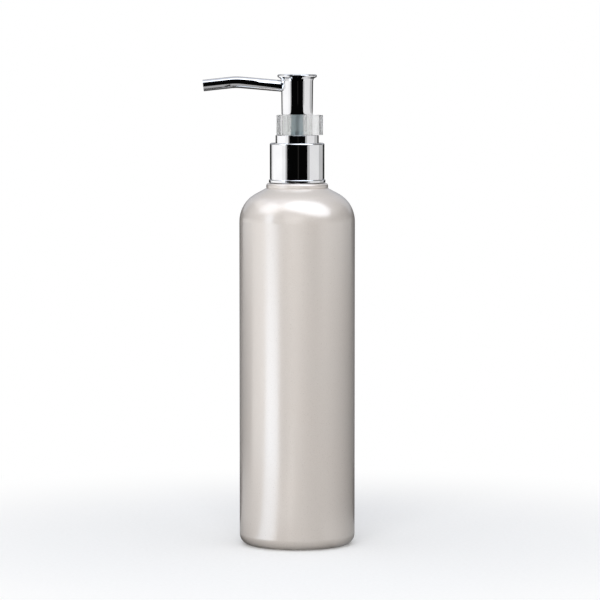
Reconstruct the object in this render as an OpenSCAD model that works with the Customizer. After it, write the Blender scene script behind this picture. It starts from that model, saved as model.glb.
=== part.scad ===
// Lotion pump bottle with a screw collar of the 24/410 finish.
// Millimetres, +Z up. The origin is on the bottle's axis, on the surface that it stands on.
// The spout points along -X at rest.

/* [Bottle] */
// Radius of the straight wall
bottle_r = 29.75; // [27:0.25:36]
// Height at which the shoulder starts to curve in
shoulder_z = 167.1; // [130:0.1:220]
// Radius of the shoulder's curve
shoulder_r = 16.25; // [12:0.25:17]
// Slope of the cone between that curve and the neck, in degrees
shoulder_slope = 28; // [15:1:30]
// Radius of the heel
heel_r = 5.5; // [3:0.5:8]
// Thickness of the wall
bottle_wall = 0.9; // [0.6:0.1:1.4]
// Thickness of the base
base_wall = 1.2; // [0.8:0.1:2]
// Height of the dome that is pushed up in the base
dome_h = 1.8; // [1:0.1:3]
// Radius of that dome where it meets the standing ring
dome_r = 20; // [15:0.5:21]

/* [Neck] */
// Radius of the neck at the root of its thread
neck_r = 10.9; // [10.5:0.1:12]
// Thickness of the neck
neck_wall = 1.5; // [1.2:0.1:1.7]
// Height of the neck above its ring
neck_h = 16.7; // [15:0.1:20]
// Radius of the ring at the foot of the neck
neck_ring_r = 15.9; // [14.8:0.05:18]
// Height of that ring
neck_ring_h = 2.6; // [1.6:0.1:3]
// Rounding on top of that ring
neck_ring_round = 1.3; // [0.5:0.1:1.5]
// Radius of the groove under that ring
neck_groove_r = 0.2; // [0.2:0.05:0.5]
// Rounding of the mouth's edges
mouth_round = 0.3; // [0.1:0.05:0.5]

/* [Collar] */
// Depth of the neck's thread, for which the collar leaves room
thread_depth = 1.05; // [0.8:0.05:1.3]
// Thickness of the plastic collar's skirt
collar_wall = 1.3; // [1:0.1:1.8]
// Thickness of its deck
collar_deck = 1.2; // [1:0.1:1.6]
// Thickness of the metal shell
shell_wall = 0.55; // [0.4:0.05:0.8]
// Rounding of the shell's top edge
shell_round = 0.8; // [0.6:0.1:1.6]
// Height of the bead at the shell's foot
bead_h = 1.6; // [1:0.1:2]
// How far that bead stands out
bead_out = 0.5; // [0.3:0.05:0.8]
// Rounding of the bead's lower edge
bead_round = 0.2; // [0.1:0.05:0.5]
// Height of the groove above the bead
bead_groove_h = 0.35; // [0.2:0.05:0.6]
// Depth of that groove
bead_groove_d = 0.15; // [0.1:0.05:0.25]
// Gap between the shell's foot and the neck's ring
foot_gap = 0.3; // [0.3:0.1:1]
// Radius of the step ring
guide_r = 11.1; // [10.8:0.1:12]
// Height of the step ring
guide_h = 4; // [3:0.1:6]
// Thickness of the step ring
guide_wall = 0.6; // [0.4:0.05:0.8]
// Rounding of its top edge
guide_round = 0.15; // [0.1:0.05:1.1]

/* [Pump] */
// Thickness of the sealing washer
gasket_h = 0.8; // [0.5:0.1:1.5]
// Thickness of the housing's flange
flange_h = 1.2; // [0.8:0.1:2]
// Wall of the housing's wide upper bowl
bowl_wall = 0.7; // [0.5:0.05:0.8]
// Depth of that bowl below the flange's top
bowl_depth = 7.3; // [6.8:0.1:7.8]
// Bore of the pump cylinder, as a radius
barrel_r = 6; // [5.4:0.1:6.6]
// Wall of the pump cylinder
barrel_wall = 0.8; // [0.6:0.1:1.2]
// Radius of the air hole in the bowl
vent_r = 0.5; // [0.3:0.1:0.8]
// Radius of the stem
stem_r = 3.3; // [3:0.1:3.6]
// Wall of the stem
stem_wall = 1.4; // [1:0.1:1.6]
// How far the chaplet's plug reaches down into the cylinder
chaplet_plug = 3; // [2:0.1:4]
// Thickness of the chaplet's disc
chaplet_disc = 1.5; // [1:0.1:1.7]
// Height of the chaplet's tube above its disc
chaplet_tube = 3.1; // [2:0.1:3.3]
// Wall of that tube
chaplet_wall = 1.25; // [0.8:0.05:1.5]
// Height of the piston
piston_h = 6.5; // [5:0.1:8]
// Slip of the piston on its plug
piston_slip = 1.2; // [0.8:0.1:1.5]
// Radius of the spring's wire
wire_r = 0.35; // [0.3:0.01:0.36]
// Radius of the spring at the middle of its wire
spring_r = 3.9; // [3.6:0.1:4.1]
// Working turns of the spring
spring_turns = 8; // [6:1:8]
// Length of the spring with the head pressed down
spring_pressed = 12.5; // [11:0.5:20]
// Radius of the inlet ball
ball_r = 2.2; // [2:0.1:2.4]
// How far the ball can lift
ball_lift = 1.5; // [1:0.1:2]
// Thickness of the ball retainer
retainer_h = 2; // [1.5:0.1:3]
// Outer radius of the dip tube
tube_r = 3; // [2.5:0.1:3.3]
// Wall of the dip tube
tube_wall = 0.8; // [0.5:0.1:1.2]
// Length of the socket that grips it
socket_len = 10.5; // [8:0.5:16]
// Wall of that socket
socket_wall = 1.25; // [0.8:0.05:1.6]
// Height of the tube's foot over the inside of the base
tube_foot = 2.5; // [1.5:0.1:6]

/* [Head] */
// Height of the metal sleeve up to its flare
sleeve_h = 17.2; // [16:0.1:24]
// Thickness of the sleeve
sleeve_wall = 0.5; // [0.4:0.05:0.7]
// How much wider the sleeve is at its flare than at its foot, on the radius
sleeve_draft = 0.22; // [0.05:0.01:0.4]
// Height of the flare
flare_h = 2.05; // [1.5:0.05:3]
// How far the flare stands out
flare_out = 1.88; // [1:0.02:2.5]
// Thickness of the top plate
cap_h = 1.3; // [0.9:0.05:1.5]
// Rounding of the top plate's edge
cap_round = 0.7; // [0.3:0.05:0.9]
// Depth of the thumb dish in the top plate
cap_dish = 0.4; // [0.2:0.05:0.5]
// Wall of the plastic core
core_wall = 1.15; // [1:0.05:1.4]
// How far the core's skirt reaches down inside the step ring
skirt_lap = 1; // [0.8:0.1:2]
// Grip of the core on the stem
stem_grip = 15.8; // [8:0.1:16]
// Height of the lock clip
clip_h = 10; // [6:0.1:10.5]
// Room between the clip and the sleeve on the side away from the spout, beyond the gap near it
clip_room = 2.66; // [1:0.02:5]
// Thickness of the lock clip
clip_wall = 2; // [1.4:0.1:2.2]
// Length of the clip's arms in front of the axis
clip_arm = 8.5; // [5:0.5:12]
// Length of the clip's pull tab
tab_len = 7; // [4:0.5:12]
// Width of that tab
tab_w = 9; // [6:0.5:14]
// Thickness of that tab
tab_t = 1.6; // [1:0.1:2.4]

/* [Spout] */
// Outer radius of the spout
spout_r = 2.95; // [2.4:0.05:2.95]
// Wall of the spout
spout_wall = 0.45; // [0.3:0.05:0.6]
// Wall of the hose inside it
liner_wall = 0.8; // [0.4:0.1:1]
// How far the spout's axis leaves the sleeve below the flare
spout_drop = 2.55; // [2.55:0.05:5]
// Reach of the bend from the axis
bend_reach = 31.35; // [24:0.05:44]
// Reach of the spout's tip from the axis
spout_reach = 48.2; // [40:0.1:80]
// Radius of the bend
bend_r = 31; // [20:1:60]
// Rise of the spout before the bend, in degrees
spout_rise = 4.9; // [2:0.1:6]
// Fall of the spout after the bend, in degrees
spout_fall = 6.2; // [4:0.1:30]
// How far the hose stays back from the spout's tip
liner_back = 0.8; // [0.3:0.1:3]

/* [Hidden] */
// Gap of a running or gripping round fit
fit = 0.05;
// Gap between parts that pass each other
pass_gap = 0.3;
// Gap under a part that another carries
seat_gap = 0.1;
// Overrun of a cut
over = 1;
// Sides of a fine circle
round_fn = 120;
// Step that worked-out places are rounded to, so that neighbouring shapes meet exactly
grid = 0.001;

function snap(v) = grid * round(v / grid);

// Heights and radii of the bottle
shoulder_centre_r = bottle_r - shoulder_r;
cone_start_r = snap(shoulder_centre_r + shoulder_r * sin(shoulder_slope));
cone_start_z = snap(shoulder_z + shoulder_r * cos(shoulder_slope));
ring_z0 = snap(cone_start_z + (cone_start_r - neck_ring_r) * tan(shoulder_slope));
ring_z1 = ring_z0 + neck_ring_h;
neck_top = ring_z1 + neck_h;
bore_r = neck_r - neck_wall;
dome_ball_r = (pow(dome_r, 2) + pow(dome_h, 2)) / (2 * dome_h);
dome_fn = 6 * round_fn;

// Heights of the collar and of what it clamps
flange_z0 = neck_top + gasket_h;
flange_z1 = flange_z0 + flange_h;
deck_z0 = flange_z1 + seat_gap;
deck_z1 = deck_z0 + collar_deck;
shell_z0 = ring_z1 + foot_gap;
shell_z1 = deck_z1 + fit + shell_wall;
guide_z1 = shell_z1 + guide_h;
upstand_z1 = guide_z1 - guide_wall - seat_gap;

// Radii of the collar
thread_room = 0.15;
collar_bore_r = neck_r + thread_depth + thread_room;
collar_r = collar_bore_r + collar_wall;
shell_bore_r = collar_r + seat_gap;
shell_r = shell_bore_r + shell_wall;
upstand_r = guide_r - guide_wall - seat_gap;
flange_gap = 0.5;
flange_r = collar_bore_r - flange_gap;

// Radii of the housing and of the core that dips into its bowl
bowl_gap = 0.45;
bowl_r = bore_r - bowl_gap;
bowl_bore_r = bowl_r - bowl_wall;
dip_gap = 0.4;
core_r = bowl_bore_r - dip_gap;
deck_hole_r = bowl_bore_r + dip_gap;
guide_hole_r = core_r + pass_gap;
gasket_gap = 0.25;

// Heights of the head. The clip fills the stroke, less its own gaps.
clip_z0 = guide_z1 + pass_gap;
clip_z1 = clip_z0 + clip_h;
sleeve_z0 = clip_z1 + pass_gap;
stop_gap = 0.5;
stroke = sleeve_z0 - guide_z1 - stop_gap;
flare_z0 = sleeve_z0 + sleeve_h;
flare_z1 = flare_z0 + flare_h;
cap_z0 = flare_z1 + fit;
cap_z1 = cap_z0 + cap_h;
sleeve_step = 0.15;
sleeve_r0 = core_r + sleeve_step;
sleeve_r1 = sleeve_r0 + sleeve_draft;
flare_r = sleeve_r1 + flare_out;
clip_x = clip_room / 2;
clip_bore_r = sleeve_r1 + pass_gap + clip_x;
clip_r = clip_bore_r + clip_wall;
core_upper_r = sleeve_r0 - sleeve_wall - fit;
core_bore_r = core_r - core_wall;
core_z1 = flare_z1 - stop_gap - seat_gap;
knee_h_share = 0.56;
knee_out_share = 0.2;
knee_z = flare_z0 + flare_h * knee_h_share;
knee_r = sleeve_r1 + flare_out * knee_out_share;
core_deck = 0.8;
skirt_z0 = guide_z1 - skirt_lap;

// Heights inside the pump cylinder, from the chaplet down
bowl_z0 = flange_z1 - bowl_depth;
chaplet_z0 = bowl_z0 - chaplet_plug;
chaplet_top = bowl_z0 + chaplet_disc + chaplet_tube;
piston_z1 = chaplet_z0 - piston_slip - pass_gap;
piston_z0 = piston_z1 - piston_h;
lip = 1;
hub_z0 = piston_z0 + lip;
hub_z1 = piston_z1 - lip;
stem_z0 = hub_z1 + piston_slip + seat_gap;
plug_cone = 1.5;
plug_flange = 1;
plug_z1 = hub_z0 - seat_gap;
plug_z0 = plug_z1 - plug_cone - plug_flange;
spring_z1 = plug_z0 - fit;
spring_z0 = spring_z1 - spring_pressed - stroke;
barrel_z0 = spring_z0 - fit - retainer_h;
boss_z0 = chaplet_top + stroke + pass_gap;
stem_z1 = boss_z0 + stem_grip;
stem_bore_r = stem_r - stem_wall;

// The inlet valve: a ball on a cone of 45 degrees
chamber_r = ball_r + lip;
ball_room = 0.5;
ball_z = barrel_z0 - ball_room - ball_lift - ball_r;
cone_tip_z = snap(ball_z - fit - ball_r * sqrt(2));
inlet_share = 0.6;
inlet_r = ball_r * inlet_share;
inlet_len = 1.5;
socket_z1 = cone_tip_z + inlet_r - inlet_len;
socket_z0 = socket_z1 - socket_len;
socket_bore_r = tube_r + fit;
socket_r = socket_bore_r + socket_wall;
tube_z0 = base_wall + dome_h + tube_foot;
tube_z1 = socket_z1 - seat_gap;

// The spout's axis lies in the XZ plane. Directions are angles from +X towards +Z.
root_dir = 180 - spout_rise;
tip_dir = 180 + spout_fall;
bend_turn = tip_dir - root_dir;
leave_x = -sleeve_r1;
leave_z = flare_z0 - spout_drop;
bend_x = -bend_reach;
bend_z = leave_z + (bend_reach - sleeve_r1) * tan(spout_rise);
bend_tangent = bend_r * tan(bend_turn / 2);
bend_in_x = bend_x - bend_tangent * cos(root_dir);
bend_in_z = bend_z - bend_tangent * sin(root_dir);
bend_centre_x = bend_in_x - bend_r * sin(root_dir);
bend_centre_z = bend_in_z + bend_r * cos(root_dir);
tip_run = (spout_reach - bend_reach) / cos(spout_fall) - bend_tangent;
root_inset = 4.7;
bend_step = 0.01;
bend_lap = 0.3;
root_x = leave_x + root_inset;
root_run = (root_x - bend_in_x) / cos(spout_rise);

// Turns a profile, drawn as radius and height, about the axis
module lathe() {
    rotate_extrude($fn = round_fn)
        children();
}

// Profile of a plain ring
module band(r0, r1, z0, z1) {
    translate([r0, z0])
        square([r1 - r0, z1 - z0]);
}

// What a rounding takes off an outer top corner
module top_waste(r, z, rounding) {
    translate([r - rounding, z - rounding])
        difference() {
            square(rounding + over);
            circle(rounding, $fn = round_fn);
        }
}

// The same on an outer bottom corner
module foot_waste(r, z, rounding) {
    translate([r - rounding, z + rounding])
        mirror([0, 1])
            difference() {
                square(rounding + over);
                circle(rounding, $fn = round_fn);
            }
}

// Half profile of the bottle from the heel to the neck's ring, drawn in by the wall's thickness
module shell_profile(inset) {
    curve = shoulder_r - inset;
    start_r = shoulder_centre_r + curve * sin(shoulder_slope);
    start_z = shoulder_z + curve * cos(shoulder_slope);
    top_z = ring_z0 + (inset > 0 ? 0 : fit);
    top_r = start_r - (top_z - start_z) / tan(shoulder_slope);
    difference() {
        band(0, bottle_r - inset, inset > 0 ? base_wall : 0, shoulder_z);
        foot_waste(bottle_r - inset, inset > 0 ? base_wall : 0, heel_r - inset);
    }
    intersection() {
        translate([shoulder_centre_r, shoulder_z])
            circle(curve, $fn = 2 * round_fn);
        band(0, bottle_r, heel_r, ring_z1);
    }
    polygon([[0, shoulder_z], [start_r, start_z], [top_r, top_z], [0, top_z]]);
}

module bottle() {
    color("#cfcac6")
        lathe()
            difference() {
                union() {
                    shell_profile(0);
                    difference() {
                        band(0, neck_ring_r, shoulder_z, ring_z1);
                        top_waste(neck_ring_r, ring_z1, neck_ring_round);
                    }
                    difference() {
                        band(0, neck_r, shoulder_z, neck_top);
                        top_waste(neck_r, neck_top, mouth_round);
                    }
                }
                difference() {
                    shell_profile(bottle_wall);
                    translate([0, dome_h - dome_ball_r])
                        circle(dome_ball_r + base_wall, $fn = dome_fn);
                }
                band(0, bore_r, shoulder_z, neck_top + over);
                translate([0, dome_h - dome_ball_r])
                    circle(dome_ball_r, $fn = dome_fn);
                translate([neck_ring_r, ring_z0])
                    circle(neck_groove_r, $fn = round_fn);
            }
}

module neck_gasket() {
    color("#e9e7e2")
        lathe()
            band(bowl_r + gasket_gap, flange_r - seat_gap, neck_top, flange_z0);
}

module pump_housing() {
    barrel_out_r = barrel_r + barrel_wall;
    cone_top_z = cone_tip_z + chamber_r;
    color("#e4e6e6")
        difference() {
            lathe()
                difference() {
                    polygon([[0, socket_z0], [socket_r, socket_z0], [socket_r, socket_z1],
                        [barrel_out_r, barrel_z0 - lip], [barrel_out_r, bowl_z0 - barrel_wall],
                        [bowl_r, bowl_z0 - barrel_wall], [bowl_r, flange_z0],
                        [flange_r, flange_z0], [flange_r, flange_z1], [0, flange_z1]]);
                    polygon([[0, socket_z0 - over], [socket_bore_r, socket_z0 - over],
                        [socket_bore_r, socket_z1], [inlet_r, socket_z1],
                        [inlet_r, cone_tip_z + inlet_r], [chamber_r, cone_top_z],
                        [chamber_r, barrel_z0], [barrel_r, barrel_z0], [barrel_r, bowl_z0],
                        [bowl_bore_r, bowl_z0], [bowl_bore_r, flange_z1 + over],
                        [0, flange_z1 + over]]);
                }
            translate([bowl_bore_r - over, 0, flange_z0 - over - vent_r])
                rotate([0, 90, 0])
                    cylinder(r = vent_r, h = 2 * over + bowl_wall, $fn = round_fn / 5);
        }
}

module chaplet() {
    bore = stem_r + fit;
    color("#dfe3e6")
        lathe() {
            band(bore, barrel_r - fit, chaplet_z0, bowl_z0);
            band(bore, bowl_bore_r - fit, bowl_z0, bowl_z0 + chaplet_disc);
            band(bore, bore + chaplet_wall, bowl_z0 + chaplet_disc, chaplet_top);
        }
}

// The tube's foot is cut off at a slant, so it can't seal itself on the base
module dip_tube() {
    color("#eef0ef")
        difference() {
            lathe()
                band(tube_r - tube_wall, tube_r, tube_z0, tube_z1);
            translate([0, 0, tube_z0 + tube_r])
                rotate([0, 45, 0])
                    translate([-2 * tube_r, -2 * tube_r, -4 * tube_r])
                        cube([4 * tube_r, 4 * tube_r, 4 * tube_r]);
        }
}

// A ring with a cross of bars, which lets liquid by and holds the ball down
module ball_retainer() {
    bar = 1;
    ring_bore_r = ball_r + lip / 2;
    color("#d8dde0")
        difference() {
            lathe()
                band(0, barrel_r - fit, barrel_z0, barrel_z0 + retainer_h);
            for (side = [0 : 3])
                rotate([0, 0, 90 * side])
                    intersection() {
                        translate([0, 0, barrel_z0 - over])
                            cylinder(r = ring_bore_r, h = retainer_h + 2 * over, $fn = round_fn);
                        translate([bar / 2, bar / 2, barrel_z0 - over])
                            cube([ball_r * 2, ball_r * 2, retainer_h + 2 * over]);
                    }
        }
}

module inlet_ball() {
    color("#c9cccf")
        translate([0, 0, ball_z])
            sphere(ball_r, $fn = round_fn / 2);
}

// The spring's wire: one dead turn, the working turns and another dead turn.
// Its sides are a hexagon that is carried along a helix.
wire_clear = 0.45;
dead_turn_pitch = 2 * wire_r + wire_clear;
rings_per_turn = 8;
wire_sides = 6;
wire_rings = rings_per_turn * (spring_turns + 2);
helix_z0 = spring_z0 + wire_r;
helix_h = spring_z1 - spring_z0 - 2 * wire_r;
work_pitch = (helix_h - 2 * dead_turn_pitch) / spring_turns;

function helix_rise(turn) =
    turn < 1 ? dead_turn_pitch * turn
    : turn > spring_turns + 1
        ? helix_h - dead_turn_pitch * (spring_turns + 2 - turn)
        : dead_turn_pitch + work_pitch * (turn - 1);

function helix_point(i, out, up) =
    let (turn = i / rings_per_turn, r = spring_r + out)
    [r * cos(360 * turn), r * sin(360 * turn), helix_z0 + helix_rise(turn) + up];

wire_points = [for (i = [0 : wire_rings], side = [0 : wire_sides - 1])
    helix_point(i, wire_r * cos(360 * side / wire_sides), wire_r * sin(360 * side / wire_sides))];

function wire_index(i, side) = i * wire_sides + side % wire_sides;

wire_faces = concat(
    [[for (side = [0 : wire_sides - 1]) wire_index(0, side)]],
    [[for (side = [wire_sides - 1 : -1 : 0]) wire_index(wire_rings, side)]],
    [for (i = [0 : wire_rings - 1], side = [0 : wire_sides - 1])
        [wire_index(i, side), wire_index(i + 1, side), wire_index(i, side + 1)]],
    [for (i = [0 : wire_rings - 1], side = [0 : wire_sides - 1])
        [wire_index(i + 1, side), wire_index(i + 1, side + 1), wire_index(i, side + 1)]]);

spring_gap = min([for (i = [0 : wire_rings], j = [i + rings_per_turn / 2 : wire_rings])
    norm(helix_point(i, 0, 0) - helix_point(j, 0, 0)) - 2 * wire_r]);

module return_spring() {
    echo("least gap of the spring to itself, mm", spring_gap);
    color("#b9bdc0")
        polyhedron(points = wire_points, faces = wire_faces, convexity = 6);
}

// A head that seals the piston's hub from below, and a fluted neck gripped by the stem
module stem_plug() {
    seal_r = stem_r + lip / 2;
    flange = spring_r + wire_r + seat_gap;
    rib = 1.1;
    neck = stem_bore_r - fit;
    neck_grip = 6;
    color("#e8e4da") {
        lathe() {
            polygon([[0, plug_z1], [seal_r, plug_z1], [flange, plug_z0 + plug_flange],
                [flange, plug_z0], [0, plug_z0]]);
        }
        intersection() {
            translate([0, 0, plug_z1])
                cylinder(r = neck, h = stem_z0 + neck_grip - plug_z1, $fn = round_fn);
            union() {
                translate([-neck, -rib / 2, plug_z1 - fit])
                    cube([2 * neck, rib, stem_z0 + neck_grip]);
                translate([-rib / 2, -neck, plug_z1 - fit])
                    cube([rib, 2 * neck, stem_z0 + neck_grip]);
            }
        }
    }
}

// A hub, a web and an outer wall with a thin lip at each end that wipes the cylinder
module piston() {
    hub_bore_r = stem_bore_r + lip / 2;
    hub_r = stem_r + lip;
    wall_r = barrel_r - 2 * wire_r;
    wipe_r = barrel_r - fit;
    mid = (piston_z0 + piston_z1) / 2;
    wall_in = wall_r - lip / 2;
    color("#f2f2ee")
        lathe() {
            band(hub_bore_r, hub_r, hub_z0, hub_z1);
            band(hub_r - fit, wall_in + fit, mid - lip / 2, mid + lip / 2);
            polygon([[wall_in, piston_z0 + lip], [wipe_r - lip / 4, piston_z0], [wipe_r, piston_z0],
                [wall_r, mid], [wipe_r, piston_z1], [wipe_r - lip / 4, piston_z1],
                [wall_in, piston_z1 - lip]]);
        }
}

module stem() {
    color("#e6e9ea")
        lathe()
            band(stem_bore_r, stem_r, stem_z0, stem_z1);
}

module closure_cap() {
    color("#dfe0df")
        lathe()
            difference() {
                union() {
                    band(collar_bore_r, collar_r, shell_z0 + lip, deck_z0);
                    band(deck_hole_r, collar_r, deck_z0, deck_z1);
                    band(deck_hole_r, upstand_r, deck_z1, upstand_z1);
                }
                top_waste(collar_r, deck_z1, shell_round - shell_wall + seat_gap);
                top_waste(upstand_r, upstand_z1, guide_round / 2 + seat_gap);
            }
}

module collar_shell() {
    groove_z0 = shell_z0 + bead_h;
    color("#dcdee0")
        lathe()
            difference() {
                union() {
                    difference() {
                        band(shell_bore_r, shell_r, shell_z0, shell_z1);
                        top_waste(shell_r, shell_z1, shell_round);
                    }
                    difference() {
                        band(shell_bore_r, shell_r + bead_out, shell_z0, groove_z0);
                        top_waste(shell_r + bead_out, groove_z0, bead_out);
                        foot_waste(shell_r + bead_out, shell_z0, bead_round);
                    }
                    difference() {
                        band(upstand_r + seat_gap, shell_r - shell_wall / 2, shell_z1 - shell_wall, shell_z1);
                        top_waste(shell_r, shell_z1, shell_round);
                    }
                    // The rounded top edge keeps the shell's thickness inside
                    intersection() {
                        difference() {
                            translate([shell_r - shell_round, shell_z1 - shell_round])
                                circle(shell_round, $fn = round_fn);
                            translate([shell_r - shell_round, shell_z1 - shell_round])
                                circle(shell_round - shell_wall, $fn = round_fn);
                        }
                        translate([shell_r - shell_round, shell_z1 - shell_round])
                            square(shell_round);
                    }
                }
                translate([shell_r - bead_groove_d, groove_z0])
                    square([bead_groove_d + bead_out + over, bead_groove_h]);
            }
}

module guide_ring() {
    guide_bore_r = guide_r - guide_wall;
    color("#dcdee0")
        lathe()
            difference() {
                band(guide_hole_r, guide_r, shell_z1, guide_z1);
                top_waste(guide_r, guide_z1, guide_round);
                difference() {
                    band(0, guide_bore_r, shell_z1 - over, guide_z1 - guide_wall);
                    top_waste(guide_bore_r, guide_z1 - guide_wall, guide_round / 2);
                }
            }
}

// A clear U that straddles the core, open to the front, with a pull tab at the back
module lock_clip() {
    arm_end = -clip_arm;
    color("#dfe3e6", 0.6)
        translate([clip_x, 0, clip_z0]) {
            linear_extrude(clip_h) {
                difference() {
                    union() {
                        circle(clip_r, $fn = round_fn);
                        translate([-clip_r, arm_end])
                            square([2 * clip_r, clip_arm]);
                    }
                    circle(clip_bore_r, $fn = round_fn);
                    translate([-clip_bore_r, arm_end - clip_r])
                        square([2 * clip_bore_r, clip_arm + clip_r]);
                    translate([-clip_r - over, arm_end - 2 * clip_r])
                        square([2 * clip_r + 2 * over, 2 * clip_r]);
                }
                for (side = [-1, 1])
                    translate([side * (clip_r - clip_wall / 2), arm_end])
                        circle(clip_wall / 2, $fn = round_fn / 2);
                translate([-tab_t / 2, clip_r - clip_wall / 2])
                    square([tab_t, tab_len + clip_wall / 2]);
            }
            // The grip at the end of the tab stands across it
            translate([-tab_w / 2, clip_r + tab_len - tab_t, 0])
                cube([tab_w, tab_t, clip_h]);
        }
}

module pipe_ring(r0, r1) {
    difference() {
        circle(r1, $fn = round_fn / 2);
        circle(r0, $fn = round_fn / 2);
    }
}

// A pipe along the spout's axis, cut back from the tip. It is drawn in the frame of the bend,
// whose wall is a trace thinner, as bending leaves it, and runs on inside the straight walls.
module spout_pipe(r0, r1, back) {
    lap_turn = 360 * bend_lap / (2 * PI * bend_r);
    translate([bend_centre_x, 0, bend_centre_z])
        rotate([90, 0, 0])
            rotate([0, 0, root_dir - 90]) {
                translate([bend_r, 0, 0])
                    rotate([90, 0, 0])
                        linear_extrude(root_run)
                            pipe_ring(r0, r1);
                rotate([0, 0, -lap_turn])
                    rotate_extrude(angle = bend_turn + 2 * lap_turn, $fn = 6 * round_fn)
                        translate([bend_r, 0])
                            pipe_ring(r0 + bend_step, r1 - bend_step);
                rotate([0, 0, bend_turn])
                    translate([bend_r, 0, 0])
                        rotate([-90, 0, 0])
                            linear_extrude(tip_run - back)
                                pipe_ring(r0, r1);
            }
}

module spout_tube() {
    color("#dcdee0")
        spout_pipe(spout_r - spout_wall, spout_r, 0);
}

module spout_liner() {
    liner_r = spout_r - spout_wall - fit;
    color("#eceeee")
        spout_pipe(liner_r - liner_wall, liner_r, liner_back);
}

// A rod along the spout's root, from inside the head outwards
module root_rod(r, from_x, to_x) {
    translate([from_x, 0, leave_z + (leave_x - from_x) * tan(spout_rise)])
        rotate([0, 90 - root_dir, 0])
            cylinder(r = r, h = (from_x - to_x) / cos(spout_rise), $fn = round_fn / 2);
}

module actuator_core() {
    boss_wall = 1.6;
    boss_r = stem_r + fit + boss_wall;
    channel_r = stem_bore_r;
    web = 0.9;
    core_mid = sleeve_z0 - fit;
    color("#d9dcda")
        difference() {
            union() {
                lathe() {
                    band(core_bore_r, core_r, skirt_z0, core_mid);
                    band(core_bore_r, core_upper_r, core_mid, core_z1);
                    band(stem_r + fit, boss_r, boss_z0, stem_z1 + fit);
                    band(0, boss_r, stem_z1 + fit, core_z1);
                    band(0, core_upper_r, core_z1 - core_deck, core_z1);
                }
                for (side = [0 : 3])
                    rotate([0, 0, 45 + 90 * side])
                        translate([boss_r - web / 2, -web / 2, sleeve_z0])
                            cube([core_bore_r - boss_r + web, web, core_z1 - core_deck / 2 - sleeve_z0]);
                intersection() {
                    root_rod(spout_r + fit + web, 0, leave_x);
                    translate([0, 0, sleeve_z0])
                        cylinder(r = core_upper_r, h = core_z1 - sleeve_z0, $fn = round_fn);
                }
            }
            root_rod(spout_r + fit, root_x + seat_gap, leave_x - over);
            root_rod(channel_r, 0, leave_x);
            translate([0, 0, stem_z1 - over])
                cylinder(r = channel_r, h = leave_z - stem_z1, $fn = round_fn / 2);
        }
}

module actuator_sleeve() {
    wall = sleeve_wall;
    color("#dcdee0")
        difference() {
            lathe()
                polygon([[sleeve_r0 - wall, sleeve_z0], [sleeve_r0, sleeve_z0],
                    [sleeve_r1, flare_z0], [knee_r, knee_z], [flare_r, flare_z1],
                    [flare_r - wall, flare_z1], [knee_r - wall, knee_z + wall / 2],
                    [sleeve_r1 - wall, flare_z0 + wall / 2]]);
            root_rod(spout_r + seat_gap, -sleeve_r0 / 2, -flare_r - over);
        }
}

module actuator_cap() {
    locate_r = core_upper_r;
    dish_r = flare_r - 2 * cap_round;
    dish_ball_r = (pow(dish_r, 2) + pow(cap_dish, 2)) / (2 * cap_dish);
    color("#dcdee0")
        lathe()
            difference() {
                union() {
                    difference() {
                        band(0, flare_r, cap_z0, cap_z1);
                        top_waste(flare_r, cap_z1, cap_round);
                    }
                    band(0, locate_r, core_z1 + seat_gap, cap_z0);
                }
                translate([0, cap_z1 - cap_dish + dish_ball_r])
                    circle(dish_ball_r, $fn = dome_fn);
            }
}

bottle();
neck_gasket();
pump_housing();
chaplet();
dip_tube();
ball_retainer();
inlet_ball();
return_spring();
stem_plug();
piston();
stem();
closure_cap();
collar_shell();
guide_ring();
lock_clip();
actuator_core();
actuator_sleeve();
actuator_cap();
spout_tube();
spout_liner();
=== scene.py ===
import math

import bmesh
import bpy
from mathutils import Matrix, Vector


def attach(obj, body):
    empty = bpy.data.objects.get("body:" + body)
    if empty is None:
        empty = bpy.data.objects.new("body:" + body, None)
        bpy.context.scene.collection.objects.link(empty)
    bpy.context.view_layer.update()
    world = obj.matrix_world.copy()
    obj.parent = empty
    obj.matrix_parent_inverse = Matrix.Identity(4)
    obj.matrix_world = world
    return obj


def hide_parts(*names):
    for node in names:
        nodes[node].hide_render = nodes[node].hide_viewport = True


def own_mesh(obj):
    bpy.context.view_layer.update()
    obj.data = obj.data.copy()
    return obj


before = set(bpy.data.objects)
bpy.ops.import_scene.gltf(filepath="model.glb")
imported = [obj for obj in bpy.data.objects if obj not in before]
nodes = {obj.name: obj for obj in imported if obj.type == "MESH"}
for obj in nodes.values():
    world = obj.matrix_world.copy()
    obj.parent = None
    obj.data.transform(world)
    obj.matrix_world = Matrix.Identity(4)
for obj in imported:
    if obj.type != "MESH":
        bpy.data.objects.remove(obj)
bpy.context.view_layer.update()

MM = 0.001

# Camera: as high as the head's top, 1.62 m off, turned down to the object's middle. Distances are
# in metres, the tilt in degrees, the focal length in pixels of the image and the sensor in
# millimetres.
IMAGE = 600
FOCAL_PIXELS = 3149
SENSOR = 36
CAMERA_DISTANCE = 1.62
CAMERA_HEIGHT = 0.24478
CAMERA_SIDE = 1.47 * MM
CAMERA_TILT = 4.176
CAMERA_NEAR = 0.05
CAMERA_FAR = 50

# Points that are this close, in millimetres, are one point of a piece
WELD = 0.0005

# Screw thread on the neck and in the plastic collar, in millimetres. Each starts some way below
# the neck's top.
NECK_TOP = 203.528
NECK_RADIUS = 10.9
NECK_THREAD_DEPTH = 1.0
NECK_THREAD_DROP = 8.6
CAP_BORE = 12.1
CAP_THREAD_DEPTH = 0.85
CAP_THREAD_DROP = 10.4
THREAD_PITCH = 3.175
THREAD_TURNS = 1.5
THREAD_STEPS = 72
THREAD_WIDTH = 2.2
# The ridge's root lies this deep in the wall, and its ends run out over a share of its length to a
# last share of its depth
THREAD_SINK = 0.09
THREAD_END_SHARE = 1 / 8
THREAD_LEAST_SHARE = 0.04
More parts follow.
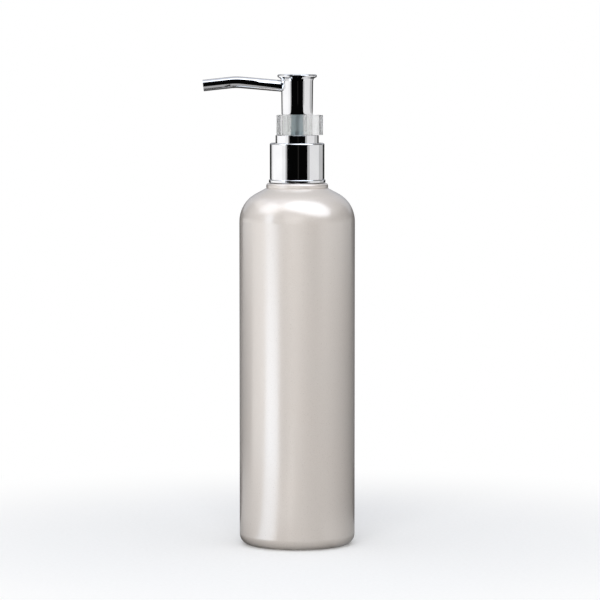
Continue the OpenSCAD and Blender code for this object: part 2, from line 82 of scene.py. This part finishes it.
# Corners of the ridge's section: -1 at its root, 0 on the wall and 1 at its crest, then a share of
# its width
THREAD_SECTION = ((-1, -0.5), (0, -0.5), (1, -0.18), (1, 0.18), (0, 0.5), (-1, 0.5))

# Round edges of the lock clip, in millimetres, and three angles in degrees: facets below the first
# are one face, edges above the second are rounded, and edges above the third don't shade smooth
CLIP_EDGE = 0.25
CLIP_EDGE_STEPS = 3
CLIP_WELD = 0.001
CLIP_FLAT = 0.5
CLIP_CORNER = 40
CLIP_CREASE = 10

# Return spring, in millimetres: its end turns lie close
SPRING_RADIUS = 3.9
SPRING_WIRE = 0.35
SPRING_LOW = 162.978
SPRING_HIGH = 185.578
SPRING_TURNS = 8
SPRING_STEPS = 32
SPRING_SIDES = 12
DEAD_PITCH = 1.15

# Studio cards, which show in reflections alone. Angles are in degrees about the object, from the
# camera's side to the right, and all sizes in metres. Each entry ends with strength and colour.
CARD_RADIUS = 2.4
CARD_STEPS = 36
FRONT_GAP_STEP = 0.05
# Upright cards all round: start, end, foot, head
CARDS = {
    "front_card": (-43, 44, 0.0, 2.45, 1.0, "#050505"),
    "front_gap": (2.4, 7.4, 0.0, 2.45, 1.0, "#201f1e"),
    "left_edge": (-50, -43, 0.0, 0.25, 0.45, "#ffffff"),
    "left_upper_edge": (-50, -43, 0.25, 1.7, 0.05, "#f4f7ff"),
    "left_low_strip": (-66, -50, 0.0, 0.25, 0.98, "#ffffff"),
    "left_strip": (-66, -50, 0.25, 1.3, 2.0, "#e6f2ff"),
    "left_card": (-122, -66, 0.0, 0.3, 1.1, "#ffffff"),
    "left_upper_card": (-122, -66, 0.3, 1.7, 0.45, "#ffffff"),
    "left_end": (-137, -122, 0.0, 0.3, 0.9, "#ffffff"),
    "left_upper_end": (-137, -122, 0.3, 1.7, 0.2, "#ffffff"),
    "right_edge": (44, 54, 0.0, 0.28, 0.5, "#ffffff"),
    "right_card": (54, 105, 0.0, 0.28, 0.83, "#ffffff"),
    "right_end": (105, 137, 0.0, 0.28, 0.55, "#ffffff"),
    "right_upper_card": (44, 137, 0.28, 1.3, 0.06, "#ffffff"),
    "right_top_card": (62, 137, 1.3, 2.6, 0.3, "#ffffff"),
    "back_card": (137, 223, 0.0, 0.5, 1.0, "#303030"),
    "back_right_card": (137, 178, 0.5, 2.6, 0.55, "#f4f7ff"),
    "back_middle": (178, 187, 0.5, 2.6, 1.0, "#303030"),
    "back_left_card": (187, 223, 0.5, 2.6, 0.55, "#f4f7ff"),
}
# Mats just over the floor: start, end, inner and outer radius
MAT_HEIGHT = 0.0006
MATS = {
    # Painted shadow: the two foot mats, black and dim grey on the right, lie where the floor's
    # contact shadow is, so the heel reflects a painted dark ring in place of that shadow
    "foot_shadow_mat": (137, 404, 0.026, 0.045, 1.0, "#050505"),
    "foot_right_shadow_mat": (44, 137, 0.026, 0.045, 0.18, "#ffffff"),
    "near_front_mat": (-34, 44, 0.045, 0.09, 0.05, "#ffffff"),
    "near_right_mat": (44, 137, 0.045, 0.12, 0.3, "#ffffff"),
    "near_back_mat": (137, 293, 0.045, 0.09, 0.3, "#ffffff"),
    "near_strip": (-67, -39, 0.045, 0.33, 1.5, "#e6f2ff"),
    "front_mat": (-34, 44, 0.09, 2.4, 1.0, "#050505"),
    "left_strip_mat": (-64, -38, 0.33, 2.4, 2.3, "#e6f2ff"),
    "left_near_mat": (-137, -67, 0.09, 0.33, 0.45, "#ffffff"),
    "left_mat": (-100, -64, 0.33, 2.4, 0.8, "#ffffff"),
    "left_end_mat": (-137, -100, 0.33, 2.4, 0.12, "#ffffff"),
    "right_mat": (44, 137, 0.12, 2.4, 0.06, "#ffffff"),
    "back_near_mat": (137, 223, 0.09, 0.33, 1.0, "#303030"),
    "back_mat": (137, 223, 0.33, 2.4, 1.0, "#5c5c5c"),
}
# A dark card that only what lies inside the clear pieces reflects: start, end, radius, foot, head
INSIDE_CARD = (-28, 28, 2.3, 0.0, 2.4, 1.0, "#050505")
# A mat under the spout, on top of the others: left, right, front, back
SPOUT_MAT = (-0.1, -0.018, -0.58, -0.1, 0.42, "#ffffff")
# Small upright flags before the spout and the head's rim: left, right, front, foot, head
FLAGS = {
    "spout_flag": (-0.06, -0.018, -0.03, 0.246, 0.305, 1.0, "#050505"),
    "cap_flag": (-0.007, 0.007, -0.02, 0.2433, 0.262, 1.0, "#404040"),
}
# Small level cards about the head and the neck, clear from behind: start, end, inner and outer
# radius, height
RINGS = {
    "head_front": (-43, 44, 0.0085, 0.15, 0.2221, 1.0, "#050505"),
    "head_right": (44, 105, 0.0085, 0.15, 0.2221, 0.83, "#ffffff"),
    "head_right_end": (105, 137, 0.0085, 0.15, 0.2221, 0.55, "#ffffff"),
    "head_back": (137, 223, 0.0085, 0.15, 0.2221, 1.0, "#303030"),
    "neck_shade": (-75, 75, 0.024, 0.0165, 0.1855, 0.45, "#ffffff"),
}
# Ceilings at the sides and behind: start, end, inner and outer radius, height
CEILINGS = {
    "right_ceiling": (62, 137, 0.3, 2.4, 2.6, 0.35, "#eef3ff"),
    "back_ceiling": (137, 300, 0.3, 2.4, 2.6, 0.8, "#eef3ff"),
}
# Softboxes that only reflections see, turned to the shoulder: place, width, height, number of
# corners, roll in degrees
SHOULDER = (0, 0, 0.17)
SOFTBOXES = {
    "left_softbox": ((-1.10, -0.30, 1.28), 0.92, 1.0, 4, 0, 2.0, "#f1f6ff"),
    "round_softbox": ((0.62, -0.80, 1.65), 3.1, 1.75, 32, -42, 2.4, "#eef5ff"),
}
# Lamps that no reflection shows, turned to the middle: place, side, watts, colour
MIDDLE = (0, 0, 0.12)
LAMPS = {
    "front_lamp": ((-0.22, -1.9, 0.5), 1.3, 33.8, "#ffffff"),
    "top_lamp": ((0.0, -0.1, 1.6), 1.6, 7.0, "#e4ecff"),
}
# Floor and world. The floor fades to white between two distances from the object.
FLOOR_REACH = 4.0
FLOOR_FADE = (0.10, 0.32)
FLOOR_LIFT = 0.125
FLOOR_BOUNCE = "#a4a4a4"
WORLD_FILL = 0.55
WHITE_LIGHT = (1, 1, 1, 1)

# A noise texture keeps mostly between these values
NOISE_LOW = 0.3
NOISE_HIGH = 0.7


def linear(text):
    """An sRGB hex colour as linear RGBA."""
    parts = [int(text[i:i + 2], 16) / 255 for i in (1, 3, 5)]
    return [c / 12.92 if c <= 0.04045 else ((c + 0.055) / 1.055) ** 2.4 for c in parts] + [1.0]


def add_node(tree, kind, inputs=None, **settings):
    """Adds a node with its settings, and sets or links its inputs."""
    made = tree.nodes.new(kind)
    for name, value in settings.items():
        setattr(made, name, value)
    for key, value in (inputs or {}).items():
        if isinstance(value, bpy.types.NodeSocket):
            tree.links.new(value, made.inputs[key])
        else:
            made.inputs[key].default_value = value
    return made


def new_material(name):
    """A material and its empty tree."""
    made = bpy.data.materials.new(name)
    made.use_nodes = True
    made.node_tree.nodes.clear()
    return made, made.node_tree


def own_place(tree):
    """The place on the piece, in its own coordinates."""
    return add_node(tree, "ShaderNodeTexCoord").outputs["Object"]


def covered(material, shader):
    """Gives a material its surface."""
    add_node(material.node_tree, "ShaderNodeOutputMaterial", {"Surface": shader.outputs[0]})
    return material


def grain(tree, place, size_mm, detail, stretch=None):
    """Noise whose features are about size_mm wide, finer along the axes that stretch names."""
    if stretch:
        place = add_node(tree, "ShaderNodeMapping",
                         {"Vector": place, "Scale": stretch}).outputs[0]
    return add_node(tree, "ShaderNodeTexNoise",
                    {"Vector": place, "Scale": 1 / (size_mm * MM),
                     "Detail": detail}).outputs["Fac"]


def spread(tree, value, low, high):
    """Spreads a noise value over the range from low to high."""
    return add_node(tree, "ShaderNodeMapRange",
                    {"Value": value, "From Min": NOISE_LOW, "From Max": NOISE_HIGH,
                     "To Min": low, "To Max": high}).outputs[0]


def blend_colours(tree, value, first, second):
    """Mixes two colours, each a hex text or a socket, by a value."""
    first, second = (linear(c) if isinstance(c, str) else c for c in (first, second))
    return add_node(tree, "ShaderNodeMix", {0: value, 6: first, 7: second},
                    data_type="RGBA").outputs[2]


def bump(tree, height, strength, depth_mm):
    """A bump whose full height is depth_mm."""
    return add_node(tree, "ShaderNodeBump",
                    {"Height": height, "Strength": strength,
                     "Distance": depth_mm * MM}).outputs[0]


def pearl_lacquer():
    """Blow-moulded bottle sprayed with pearl lacquer: mica gives warm grey a soft white sheen."""
    made, tree = new_material("pearl_lacquer")
    place = own_place(tree)
    flakes = grain(tree, place, size_mm=0.35, detail=3.0)
    clouds = grain(tree, place, size_mm=28.0, detail=1.0)
    orange_peel = grain(tree, place, size_mm=1.6, detail=1.0)
    mottled = blend_colours(tree, spread(tree, flakes, 0, 1), "#d3cac2", "#dbd3cc")
    toned = blend_colours(tree, spread(tree, clouds, 0.0, 0.4), mottled, "#d5cfc9")
    return covered(made, add_node(tree, "ShaderNodeBsdfPrincipled", {
        "Base Color": toned,
        "Metallic": 0.15,
        "Roughness": spread(tree, flakes, 0.27, 0.35),
        "IOR": 1.55,
        "Coat Weight": 1.0,
        "Coat Roughness": 0.21,
        "Coat IOR": 2.1,
        "Normal": bump(tree, orange_peel, strength=0.1, depth_mm=0.02),
    }))


def chrome_plate():
    """Metal polished and plated bright: a mirror with faint polishing marks around it."""
    made, tree = new_material("chrome_plate")
    place = own_place(tree)
    marks = grain(tree, place, size_mm=0.5, detail=4.0, stretch=(0.15, 0.15, 2.5))
    haze = grain(tree, place, size_mm=9.0, detail=2.0)
    return covered(made, add_node(tree, "ShaderNodeBsdfPrincipled", {
        "Base Color": blend_colours(tree, spread(tree, haze, 0, 1), "#eeeef0", "#f4f4f5"),
        "Metallic": 1.0,
        "Roughness": spread(tree, haze, 0.03, 0.06),
        "Normal": bump(tree, marks, strength=0.05, depth_mm=0.01),
    }))


def moulded_plastic(name, first, second, transmission, roughness, metallic=0.0):
    """Moulded plastic: a body with faint flow marks and a soft moulded gloss."""
    made, tree = new_material(name)
    place = own_place(tree)
    flow = grain(tree, place, size_mm=6.0, detail=2.0, stretch=(1, 1, 0.35))
    skin = grain(tree, place, size_mm=0.6, detail=2.0)
    return covered(made, add_node(tree, "ShaderNodeBsdfPrincipled", {
        "Base Color": blend_colours(tree, spread(tree, flow, 0, 1), first, second),
        "Transmission Weight": transmission,
        "IOR": 1.49,
        "Metallic": metallic,
        "Roughness": spread(tree, skin, roughness - 0.03, roughness + 0.03),
        "Normal": bump(tree, skin, strength=0.03, depth_mm=0.02),
    }))


def drawn_steel():
    """Stainless steel, drawn to wire or ground to a ball: grey metal with fine lines."""
    made, tree = new_material("drawn_steel")
    lines = grain(tree, own_place(tree), size_mm=0.3, detail=3.0, stretch=(1, 1, 4))
    return covered(made, add_node(tree, "ShaderNodeBsdfPrincipled", {
        "Base Color": blend_colours(tree, spread(tree, lines, 0, 1), "#b4b6b8", "#c9cbcc"),
        "Metallic": 1.0,
        "Roughness": spread(tree, lines, 0.2, 0.3),
        "Normal": bump(tree, lines, strength=0.1, depth_mm=0.01),
    }))


def foam_liner():
    """Cut foam sheet: matte, off-white, with fine cells a quarter of a millimetre wide."""
    made, tree = new_material("foam_liner")
    cells = add_node(tree, "ShaderNodeTexVoronoi",
                     {"Vector": own_place(tree), "Scale": 1 / (0.25 * MM)}).outputs["Distance"]
    return covered(made, add_node(tree, "ShaderNodeBsdfPrincipled", {
        "Base Color": blend_colours(tree, cells, "#dcd9d1", "#ece9e2"),
        "Roughness": 0.75,
        "Normal": bump(tree, cells, strength=0.5, depth_mm=0.05),
    }))


# Lacquer of the bottle, plating of all bright parts
PEARL = pearl_lacquer()
CHROME = chrome_plate()
# Polypropylene left as it comes: nearly clear in the head's core and the pump
NATURAL = moulded_plastic("natural_polypropylene", "#fdfefd", "#ffffff", 0.97, 0.16)
# The stem is tinted grey and shines through the core
STEM_GREY = moulded_plastic("grey_polypropylene", "#a9c0c8", "#b6cbd2", 0.0, 0.38, metallic=0.85)
# Clear polypropylene of the lock clip
CLEAR = moulded_plastic("clear_polypropylene", "#fcfdfd", "#ffffff", 0.86, 0.15)
# White polypropylene of the collar, the piston and the plug
WHITE = moulded_plastic("white_polypropylene", "#e3e3e1", "#ececea", 0.0, 0.35)
# Milky polyethylene of the dip tube and the spout's liner
MILKY = moulded_plastic("milky_polyethylene", "#e4e7e6", "#eef0ef", 0.3, 0.4)
# Steel of the spring and the ball, foam of the sealing washer
STEEL = drawn_steel()
FOAM = foam_liner()

NODE_MATERIALS = {
    "bottle": PEARL,
    "neck_gasket": FOAM,
    "pump_housing": NATURAL,
    "chaplet": NATURAL,
    "dip_tube": MILKY,
    "ball_retainer": NATURAL,
    "inlet_ball": STEEL,
    "return_spring": STEEL,
    "stem_plug": WHITE,
    "piston": WHITE,
    "stem": STEM_GREY,
    "closure_cap": WHITE,
    "collar_shell": CHROME,
    "guide_ring": CHROME,
    "lock_clip": CLEAR,
    "actuator_core": NATURAL,
    "actuator_sleeve": CHROME,
    "actuator_cap": CHROME,
    "spout_tube": CHROME,
    "spout_liner": MILKY,
}
for name, material in NODE_MATERIALS.items():
    data = nodes[name].data
    data.materials.clear()
    data.materials.append(material)


def mesh_data(name, mesh, material):
    """A bmesh as mesh data with one material."""
    data = bpy.data.meshes.new(name)
    mesh.to_mesh(data)
    mesh.free()
    data.materials.append(material)
    return data


def linked(name, data):
    """A new object of the scene."""
    made = bpy.data.objects.new(name, data)
    bpy.context.scene.collection.objects.link(made)
    return made


def finished(mesh, name, material, body):
    """Turns a bmesh in millimetres into a piece that rides on a body."""
    bmesh.ops.remove_doubles(mesh, verts=mesh.verts, dist=WELD)
    bmesh.ops.recalc_face_normals(mesh, faces=mesh.faces)
    bmesh.ops.scale(mesh, vec=(MM, MM, MM), verts=mesh.verts)
    data = mesh_data(name, mesh, material)
    data.shade_smooth()
    made = linked(name, data)
    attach(made, body)
    return made


def swept(sections):
    """Skins a closed tube over rings of points, and closes its two ends."""
    mesh = bmesh.new()
    loops = []
    for ring in sections:
        verts = [mesh.verts.new(point) for point in ring]
        loops.append([mesh.edges.new((verts[i - 1], verts[i])) for i in range(len(verts))])
    for before, after in zip(loops, loops[1:]):
        bmesh.ops.bridge_loops(mesh, edges=before + after)
    for loop in (loops[0], loops[-1]):
        bmesh.ops.contextual_create(mesh, geom=loop)
    return mesh


def thread(root, depth, low, inward):
    """A helical thread ridge whose ends run out to nothing. Outward on a neck, inward in a cap."""
    sections = []
    steps = int(THREAD_TURNS * THREAD_STEPS)
    side = -1 if inward else 1
    for i in range(steps + 1):
        share = i / steps
        angle = 2 * math.pi * THREAD_TURNS * share
        fade = min(1, share / THREAD_END_SHARE, (1 - share) / THREAD_END_SHARE)
        height = depth * max(THREAD_LEAST_SHARE, math.sin(fade * math.pi / 2))
        ring = []
        for out, up in THREAD_SECTION:
            radius = root + side * out * (height if out > 0 else THREAD_SINK)
            z = low + THREAD_PITCH * THREAD_TURNS * share + up * THREAD_WIDTH
            ring.append((radius * math.cos(angle), radius * math.sin(angle), z))
        sections.append(ring)
    return swept(sections)


def rounded_clip():
    """The lock clip with the small round edges that its mould gives it."""
    mesh = bmesh.new()
    mesh.from_mesh(nodes["lock_clip"].data)
    bmesh.ops.scale(mesh, vec=(1 / MM, 1 / MM, 1 / MM), verts=mesh.verts)
    bmesh.ops.remove_doubles(mesh, verts=mesh.verts, dist=CLIP_WELD)
    bmesh.ops.dissolve_limit(mesh, angle_limit=math.radians(CLIP_FLAT),
                             verts=mesh.verts, edges=mesh.edges)
    corner = math.radians(CLIP_CORNER)
    sharp = [edge for edge in mesh.edges if edge.calc_face_angle(0) > corner]
    bmesh.ops.bevel(mesh, geom=sharp, offset=CLIP_EDGE, segments=CLIP_EDGE_STEPS, profile=0.5,
                    affect="EDGES", material=-1, clamp_overlap=True)
    return mesh


clear_clip = finished(rounded_clip(), "clear_clip", CLEAR, "clip")
clear_clip.data.set_sharp_from_angle(angle=math.radians(CLIP_CREASE))
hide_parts("lock_clip")

neck_ridge = thread(NECK_RADIUS, NECK_THREAD_DEPTH, NECK_TOP - NECK_THREAD_DROP, inward=False)
finished(neck_ridge, "neck_thread", PEARL, "bottle")
cap_ridge = thread(CAP_BORE, CAP_THREAD_DEPTH, NECK_TOP - CAP_THREAD_DROP, inward=True)
finished(cap_ridge, "cap_thread", WHITE, "closure")


def spring_rise(turn):
    """Height of the spring's wire after some turns, with a close turn at each end."""
    run = SPRING_HIGH - SPRING_LOW - 2 * SPRING_WIRE
    pitch = (run - 2 * DEAD_PITCH) / SPRING_TURNS
    if turn < 1:
        return DEAD_PITCH * turn
    if turn > SPRING_TURNS + 1:
        return run - DEAD_PITCH * (SPRING_TURNS + 2 - turn)
    return DEAD_PITCH + pitch * (turn - 1)


def coil_spring():
    """Round wire on a helix."""
    sections = []
    for i in range(SPRING_STEPS * (SPRING_TURNS + 2) + 1):
        turn = i / SPRING_STEPS
        angle = 2 * math.pi * turn
        z = SPRING_LOW + SPRING_WIRE + spring_rise(turn)
        ring = []
        for k in range(SPRING_SIDES):
            round_angle = 2 * math.pi * k / SPRING_SIDES
            radius = SPRING_RADIUS + SPRING_WIRE * math.cos(round_angle)
            ring.append((radius * math.cos(angle), radius * math.sin(angle),
                         z + SPRING_WIRE * math.sin(round_angle)))
        sections.append(ring)
    return swept(sections)


spring = finished(coil_spring(), "coil_spring", STEEL, "pump")
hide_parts("return_spring")
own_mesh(spring)


def glowing(name, strength, colour, one_sided):
    """A card's own light, the same all over, and nothing from behind if it is one-sided."""
    made, tree = new_material(name)
    glow = add_node(tree, "ShaderNodeEmission", {"Color": linear(colour), "Strength": strength})
    if one_sided:
        behind = add_node(tree, "ShaderNodeNewGeometry").outputs["Backfacing"]
        clear = add_node(tree, "ShaderNodeBsdfTransparent")
        glow = add_node(tree, "ShaderNodeMixShader",
                        {0: behind, 1: glow.outputs[0], 2: clear.outputs[0]})
    return covered(made, glow)


def stage_card(name, mesh, strength, colour, one_sided=False, inside=False):
    """A studio card that only reflections see, or only what is inside the clear pieces."""
    card = linked(name, mesh_data(name, mesh, glowing(name, strength, colour, one_sided)))
    card.visible_camera = False
    card.visible_diffuse = False
    card.visible_glossy = not inside
    card.visible_transmission = inside
    card.visible_shadow = False


def swung(start, end, first, last):
    """The face that a line from first to last, each a radius and a height, sweeps in its turn."""
    mesh = bmesh.new()
    turn = Matrix.Rotation(math.radians(start), 3, "Z")
    verts = [mesh.verts.new(turn @ Vector((0, -radius, height)))
             for radius, height in (first, last)]
    line = mesh.edges.new(verts)
    bmesh.ops.spin(mesh, geom=verts + [line], cent=(0, 0, 0), axis=(0, 0, 1),
                   angle=math.radians(end - start), steps=CARD_STEPS)
    return mesh


def level_card(name, start, end, inner, outer, height, strength, colour, one_sided=False):
    """A level card between two radii."""
    mesh = swung(start, end, (inner, height), (outer, height))
    stage_card(name, mesh, strength, colour, one_sided=one_sided)


def facing(place, target):
    """The turn that points a flat shape's back along the way from place to target."""
    return (Vector(target) - Vector(place)).to_track_quat("-Z", "Y")


def overhead_card(name, place, width, height, corners, roll, strength, colour):
    """A flat softbox over the object: a plate with four corners, or a round one with more."""
    mesh = bmesh.new()
    if corners == 4:
        bmesh.ops.create_circle(mesh, cap_ends=True, segments=corners, radius=math.sqrt(0.5))
        bmesh.ops.rotate(mesh, verts=mesh.verts, cent=(0, 0, 0),
                         matrix=Matrix.Rotation(math.pi / 4, 3, "Z"))
    else:
        bmesh.ops.create_circle(mesh, cap_ends=True, segments=corners, radius=0.5)
    turn = facing(place, SHOULDER).to_matrix().to_4x4()
    rolled = turn @ Matrix.Rotation(math.radians(roll), 4, "Z")
    bmesh.ops.transform(mesh, verts=mesh.verts,
                        matrix=Matrix.Translation(place) @ rolled
                        @ Matrix.Diagonal((width, height, 1, 1)))
    stage_card(name, mesh, strength, colour)


for name, (start, end, foot, head, *light) in CARDS.items():
    radius = CARD_RADIUS - (FRONT_GAP_STEP if name == "front_gap" else 0)
    stage_card(name, swung(start, end, (radius, foot), (radius, head)), *light)
for name, (start, end, inner, outer, *light) in MATS.items():
    level_card(name, start, end, inner, outer, MAT_HEIGHT, *light)
start, end, radius, foot, head, *light = INSIDE_CARD
stage_card("inside_card", swung(start, end, (radius, foot), (radius, head)), *light, inside=True)
left, right, front, back, *light = SPOUT_MAT
plate = bmesh.new()
bmesh.ops.create_grid(plate, x_segments=1, y_segments=1, size=0.5)
plate_middle = ((left + right) / 2, (front + back) / 2, 2 * MAT_HEIGHT)
bmesh.ops.transform(plate, verts=plate.verts, matrix=Matrix.Translation(plate_middle)
                    @ Matrix.Diagonal((right - left, back - front, 1, 1)))
stage_card("spout_mat", plate, *light)
for name, (left, right, front, foot, head, *light) in FLAGS.items():
    plate = bmesh.new()
    corners = [plate.verts.new((x, front, z))
               for x, z in ((left, foot), (right, foot), (right, head), (left, head))]
    bmesh.ops.contextual_create(plate, geom=corners)
    stage_card(name, plate, *light)
for name, ring in RINGS.items():
    level_card(name, *ring, one_sided=True)
for name, ceiling in CEILINGS.items():
    level_card(name, *ceiling)
for name, softbox in SOFTBOXES.items():
    overhead_card(name, *softbox)


def seen_rays(tree):
    """1 for rays from the camera, gloss or clear plastic, and 0 for those of soft light."""
    path = add_node(tree, "ShaderNodeLightPath").outputs
    seen = path["Is Camera Ray"]
    for kind in ("Is Glossy Ray", "Is Transmission Ray"):
        seen = add_node(tree, "ShaderNodeMath", {0: seen, 1: path[kind]},
                        operation="MAXIMUM").outputs[0]
    return seen


def white_floor():
    """Matte white board, which keeps its shadow near the object and fades to white further out."""
    mesh = bmesh.new()
    bmesh.ops.create_grid(mesh, x_segments=1, y_segments=1, size=FLOOR_REACH)
    material, tree = new_material("white_board")
    place = own_place(tree)
    fibre = grain(tree, place, size_mm=2.0, detail=2.0)
    matte = add_node(tree, "ShaderNodeBsdfDiffuse", {
        "Color": blend_colours(tree, spread(tree, fibre, 0, 1), "#ebebea", "#efefee")})
    lift = add_node(tree, "ShaderNodeEmission", {"Color": WHITE_LIGHT, "Strength": FLOOR_LIFT})
    near = add_node(tree, "ShaderNodeAddShader", {0: matte.outputs[0], 1: lift.outputs[0]})
    bounce = add_node(tree, "ShaderNodeBsdfDiffuse", {"Color": linear(FLOOR_BOUNCE)})
    away = add_node(tree, "ShaderNodeVectorMath", {0: place},
                    operation="LENGTH").outputs["Value"]
    fade_start, fade_end = FLOOR_FADE
    faded = add_node(tree, "ShaderNodeMapRange",
                     {"Value": away, "From Min": fade_start, "From Max": fade_end},
                     interpolation_type="SMOOTHSTEP")
    white = add_node(tree, "ShaderNodeEmission", {"Color": WHITE_LIGHT, "Strength": 1.0})
    shown = add_node(tree, "ShaderNodeMixShader",
                     {0: faded.outputs[0], 1: near.outputs[0], 2: white.outputs[0]})
    both = add_node(tree, "ShaderNodeMixShader",
                    {0: seen_rays(tree), 1: bounce.outputs[0], 2: shown.outputs[0]})
    floor = linked("floor", mesh_data("floor", mesh, covered(material, both)))


def studio_world():
    """White all round for the camera, gloss and clear plastic, and a soft fill for the rest."""
    world = bpy.data.worlds.new("studio")
    bpy.context.scene.world = world
    world.use_nodes = True
    tree = world.node_tree
    tree.nodes.clear()
    fill = add_node(tree, "ShaderNodeBackground", {"Color": WHITE_LIGHT, "Strength": WORLD_FILL})
    white = add_node(tree, "ShaderNodeBackground", {"Color": WHITE_LIGHT, "Strength": 1.0})
    both = add_node(tree, "ShaderNodeMixShader",
                    {0: seen_rays(tree), 1: fill.outputs[0], 2: white.outputs[0]})
    add_node(tree, "ShaderNodeOutputWorld", {"Surface": both.outputs[0]})


def studio_lamp(name, place, side, power, colour):
    """A square studio lamp, turned to the object's middle."""
    lamp = bpy.data.lights.new(name, "AREA")
    lamp.shape = "SQUARE"
    lamp.size = side
    lamp.energy = power
    lamp.color = linear(colour)[:3]
    made = linked(name, lamp)
    made.location = place
    made.rotation_euler = facing(place, MIDDLE).to_euler()
    made.visible_glossy = False
    made.visible_transmission = False


def photo_camera():
    """The camera that stands where the photograph was taken from."""
    lens = bpy.data.cameras.new("camera")
    lens.sensor_width = SENSOR
    lens.lens = FOCAL_PIXELS * SENSOR / IMAGE
    lens.clip_start = CAMERA_NEAR
    lens.clip_end = CAMERA_FAR
    made = linked("camera", lens)
    made.location = (CAMERA_SIDE, -CAMERA_DISTANCE, CAMERA_HEIGHT)
    made.rotation_euler = (math.radians(90 - CAMERA_TILT), 0, 0)
    bpy.context.scene.camera = made


white_floor()
studio_world()
for name, lamp in LAMPS.items():
    studio_lamp(name, *lamp)
photo_camera()
bpy.context.scene.view_settings.view_transform = "Standard"
